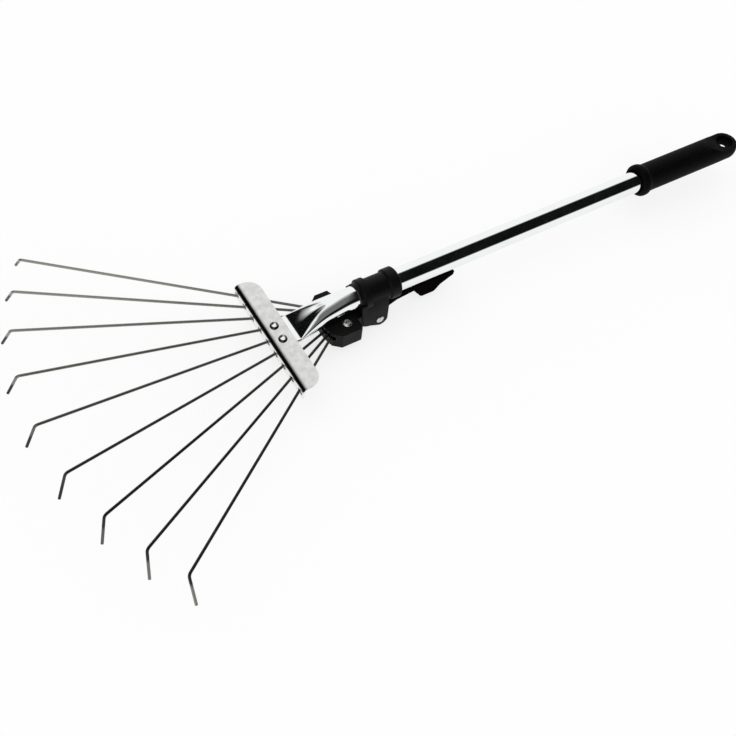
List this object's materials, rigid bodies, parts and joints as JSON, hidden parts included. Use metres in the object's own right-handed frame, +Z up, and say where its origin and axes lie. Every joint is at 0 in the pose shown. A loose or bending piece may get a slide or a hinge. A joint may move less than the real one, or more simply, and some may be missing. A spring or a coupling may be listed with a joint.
{
  "type": "leaf rake",
  "caption": "Expanding leaf rake: a cam-locked slider on a chromed tube handle swings bent wire tines through a slotted comb plate.",
  "frame": {"origin": "centre of the hang hole in the grip, on the tube axis", "axes": "+X along the handle tube, from the tines to the hang hole; +Z up along the hang hole with the tine tips bent down; +Y across the fan"},
  "size_m": [0.7791, 0.3888, 0.0519],
  "materials": {
    "chrome_tube": "polished chrome plate",
    "zinc_sheet": "zinc-plated sheet, satin",
    "tine_wire": "plated spring wire, satin",
    "rivet_steel": "plated, smooth",
    "black_nylon": "moulded, satin",
    "grip_rubber": "moulded, fine grain",
    "zinc_fastener": "zinc plated",
    "spring_steel": "oiled",
    "shoe_rubber": "matte"
  },
  "bodies": {
    "handle": {"handle_tube": "chrome_tube", "hand_grip": "grip_rubber", "comb_plate": "zinc_sheet", "comb_rivets": "rivet_steel"},
    "slider": {"slider_body": "black_nylon", "holder_base": "black_nylon", "holder_screws": "zinc_fastener", "holder_nuts": "zinc_fastener", "cam_pin": "zinc_fastener", "pin_clip": "spring_steel"},
    "lever": {"cam_lever": "black_nylon"},
    "shoe": {"brake_shoe": "shoe_rubber"},
    "tine_1": {"tine_1": "tine_wire"},
    "tine_2": {"tine_2": "tine_wire"},
    "tine_3": {"tine_3": "tine_wire"},
    "tine_4": {"tine_4": "tine_wire"},
    "tine_5": {"tine_5": "tine_wire"},
    "tine_6": {"tine_6": "tine_wire"},
    "tine_7": {"tine_7": "tine_wire"},
    "tine_8": {"tine_8": "tine_wire"},
    "tine_9": {"tine_9": "tine_wire"}
  },
  "joints": [
    {"name": "slider_slide", "type": "slide", "parent": "handle", "child": "slider", "axis": [1, 0, 0], "range_m": [0, 0.05]},
    {"name": "lever_pivot", "type": "hinge", "parent": "slider", "child": "lever", "pos_m": [-0.429, 0, -0.0272], "axis": [0, 1, 0], "range_deg": [0, 95]},
    {"name": "shoe_lift", "type": "slide", "parent": "slider", "child": "shoe", "axis": [0, 0, -1], "range_m": [0, 0.001]},
    {"name": "tine_1_swing", "type": "hinge", "parent": "slider", "child": "tine_1", "pos_m": [-0.48, -0.0162, -0.02115], "axis": [0, -0.1102, -0.9939], "range_deg": [0, 14.85]},
    {"name": "tine_2_swing", "type": "hinge", "parent": "slider", "child": "tine_2", "pos_m": [-0.48, -0.01215, -0.02115], "axis": [0, -0.1462, -0.9893], "range_deg": [0, 12.5]},
    {"name": "tine_3_swing", "type": "hinge", "parent": "slider", "child": "tine_3", "pos_m": [-0.48, -0.0081, -0.02115], "axis": [0, -0.2165, -0.9763], "range_deg": [0, 9.24]},
    {"name": "tine_4_swing", "type": "hinge", "parent": "slider", "child": "tine_4", "pos_m": [-0.48, -0.00405, -0.02115], "axis": [0, -0.4054, -0.9141], "range_deg": [0, 5.24]},
    {"name": "tine_5_swing", "type": "hinge", "parent": "slider", "child": "tine_5", "pos_m": [-0.48, 0, -0.02115], "axis": [0, -1, 0], "range_deg": [0, 2.18]},
    {"name": "tine_6_swing", "type": "hinge", "parent": "slider", "child": "tine_6", "pos_m": [-0.48, 0.00405, -0.02115], "axis": [0, -0.4054, 0.9141], "range_deg": [0, 5.24]},
    {"name": "tine_7_swing", "type": "hinge", "parent": "slider", "child": "tine_7", "pos_m": [-0.48, 0.0081, -0.02115], "axis": [0, -0.2165, 0.9763], "range_deg": [0, 9.24]},
    {"name": "tine_8_swing", "type": "hinge", "parent": "slider", "child": "tine_8", "pos_m": [-0.48, 0.01215, -0.02115], "axis": [0, -0.1462, 0.9893], "range_deg": [0, 12.5]},
    {"name": "tine_9_swing", "type": "hinge", "parent": "slider", "child": "tine_9", "pos_m": [-0.48, 0.0162, -0.02115], "axis": [0, -0.1102, 0.9939], "range_deg": [0, 14.85]}
  ],
  "couplings": [
    {"joint": "shoe_lift", "follows": "lever_pivot", "m_per_rad": 0.000603},
    {"joint": "tine_1_swing", "follows": "slider_slide", "rad_per_m": 5.1777},
    {"joint": "tine_2_swing", "follows": "slider_slide", "rad_per_m": 4.3578},
    {"joint": "tine_3_swing", "follows": "slider_slide", "rad_per_m": 3.217},
    {"joint": "tine_4_swing", "follows": "slider_slide", "rad_per_m": 1.8207},
    {"joint": "tine_5_swing", "follows": "slider_slide", "rad_per_m": 0.75323},
    {"joint": "tine_6_swing", "follows": "slider_slide", "rad_per_m": 1.8207},
    {"joint": "tine_7_swing", "follows": "slider_slide", "rad_per_m": 3.217},
    {"joint": "tine_8_swing", "follows": "slider_slide", "rad_per_m": 4.3578},
    {"joint": "tine_9_swing", "follows": "slider_slide", "rad_per_m": 5.1777}
  ]
}
